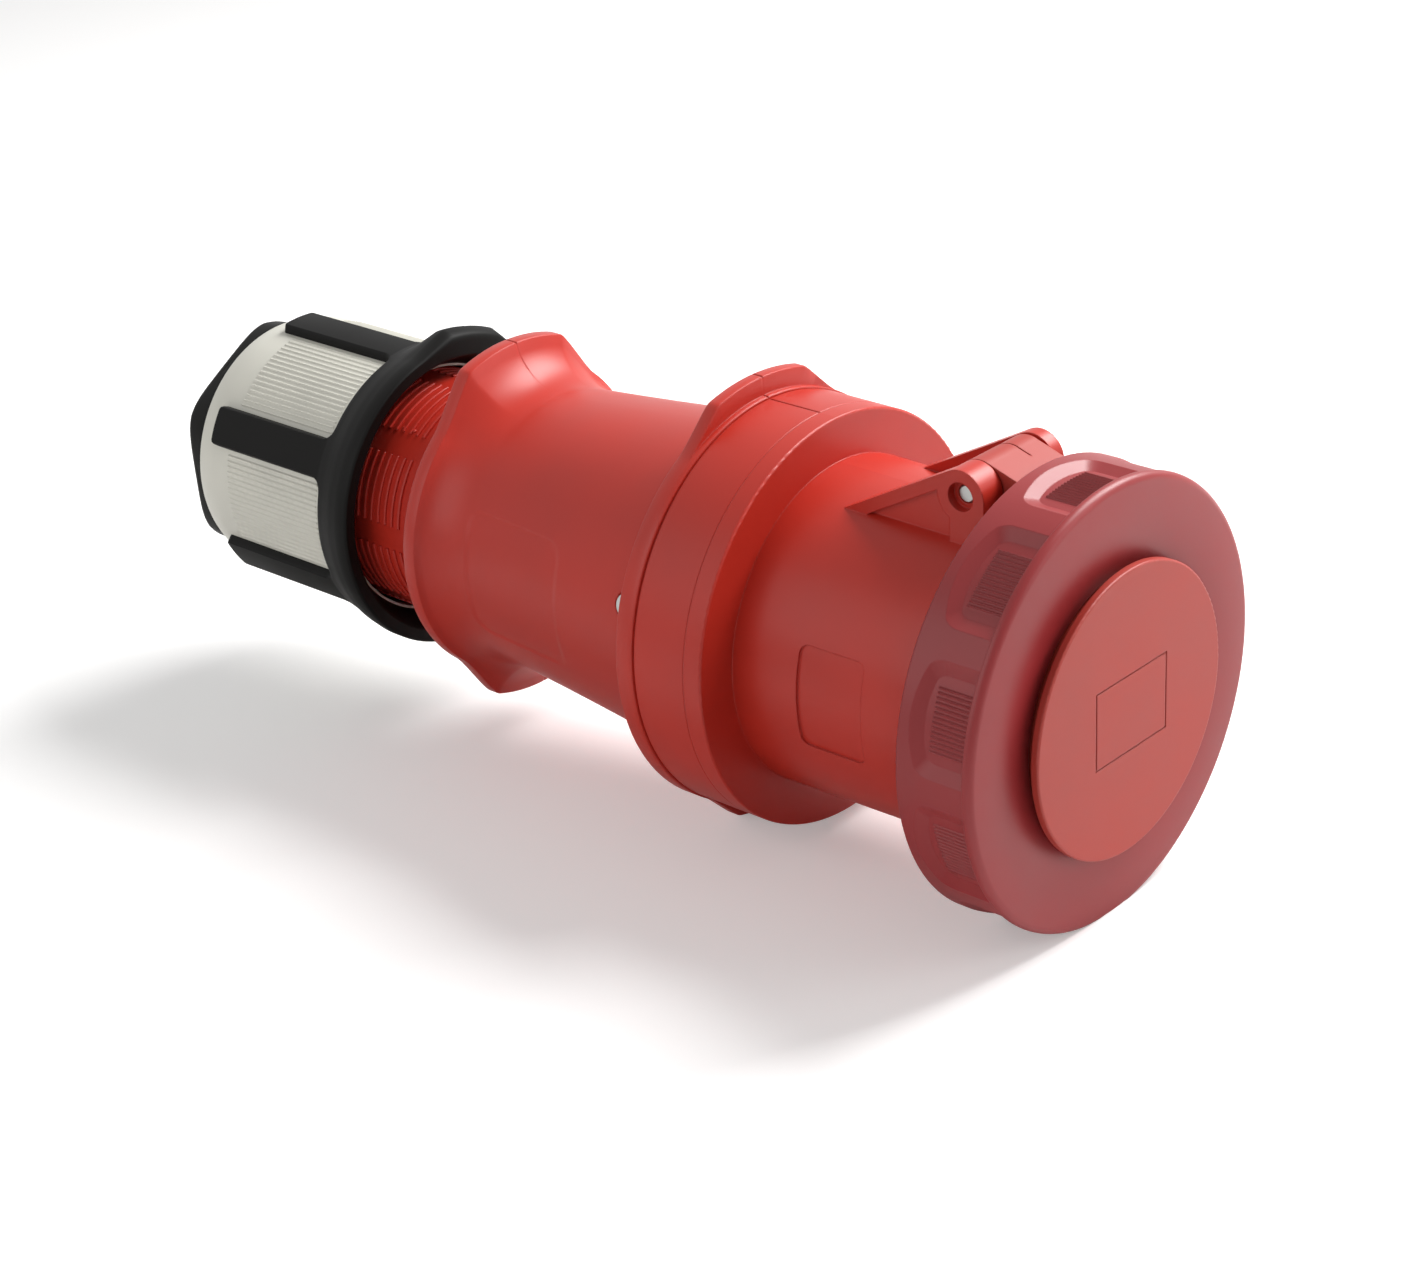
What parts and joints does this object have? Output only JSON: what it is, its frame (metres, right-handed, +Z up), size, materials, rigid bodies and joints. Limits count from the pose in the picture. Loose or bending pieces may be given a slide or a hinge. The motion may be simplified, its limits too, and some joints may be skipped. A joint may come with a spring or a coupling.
{
  "type": "industrial cable coupler",
  "caption": "Red industrial cable coupler: female connector with a sprung lid under a bayonet ring, five sockets and a pale cable gland.",
  "frame": {"origin": "the flat foot under the lower collar lobe, on the ground", "axes": "+X along the coupler to its lid, leaning down by the rest's small angle; +Z up; +Y to the left seen from the rear"},
  "size_m": [0.3192, 0.118, 0.125],
  "materials": {
    "ring_red": "dark wine red moulded plastic, satin",
    "lid_red": "red moulded plastic, satin",
    "housing_red": "bright red moulded plastic, semi-gloss",
    "carrier_black": "black insulating plastic",
    "nut_grey": "pale grey moulded plastic",
    "grip_black": "black soft grip",
    "seal_black": "black seal rubber",
    "inner_grey": "grey moulded plastic",
    "contact_brass": "bare turned brass",
    "steel": "zinc-plated steel"
  },
  "bodies": {
    "housing": {"front_housing": "housing_red", "rear_housing": "housing_red", "contact_carrier": "carrier_black", "contact_retainer": "carrier_black", "contact_clips": "steel", "terminal_screws": "steel", "carrier_screws": "steel", "carrier_lock_ring": "inner_grey", "housing_seal": "seal_black", "housing_lock_screw": "steel", "hinge_pin": "steel", "gland_grommet": "seal_black", "gland_clamp_cage": "inner_grey", "contact_l1": "contact_brass", "contact_l2": "contact_brass", "contact_l3": "contact_brass", "contact_neutral": "contact_brass", "contact_earth": "contact_brass"},
    "lid": {"lid": "lid_red", "lid_seal": "seal_black", "hinge_spring": "steel"},
    "bayonet_ring": {"bayonet_ring": "ring_red"},
    "gland_slip": {"gland_slip_ring": "inner_grey"},
    "gland_nut": {"gland_nut": "nut_grey", "gland_grip_frame": "grip_black", "gland_end_ring": "grip_black"}
  },
  "joints": [
    {"name": "lid_open", "type": "hinge", "parent": "housing", "child": "lid", "pos_m": [0.08298, 0, 0.11205], "axis": [0, -1, 0], "range_deg": [0, 105], "stiffness_Nm_per_rad": 0.08, "springref_deg": -85.94},
    {"name": "ring_turn", "type": "hinge", "parent": "lid", "child": "bayonet_ring", "pos_m": [0.10426, 0, 0.05801], "axis": [0.9993, 0, -0.0377], "range_deg": [-35, 0]},
    {"name": "gland_travel", "type": "slide", "parent": "housing", "child": "gland_slip", "axis": [-0.9993, 0, 0.0377], "range_m": [0, 0.006]},
    {"name": "gland_turn", "type": "hinge", "parent": "gland_slip", "child": "gland_nut", "pos_m": [-0.16155, 0, 0.06804], "axis": [-0.9993, 0, 0.0377], "range_deg": [0, 720]}
  ],
  "couplings": [
    {"joint": "gland_travel", "follows": "gland_turn", "m_per_rad": 0.00047746}
  ]
}
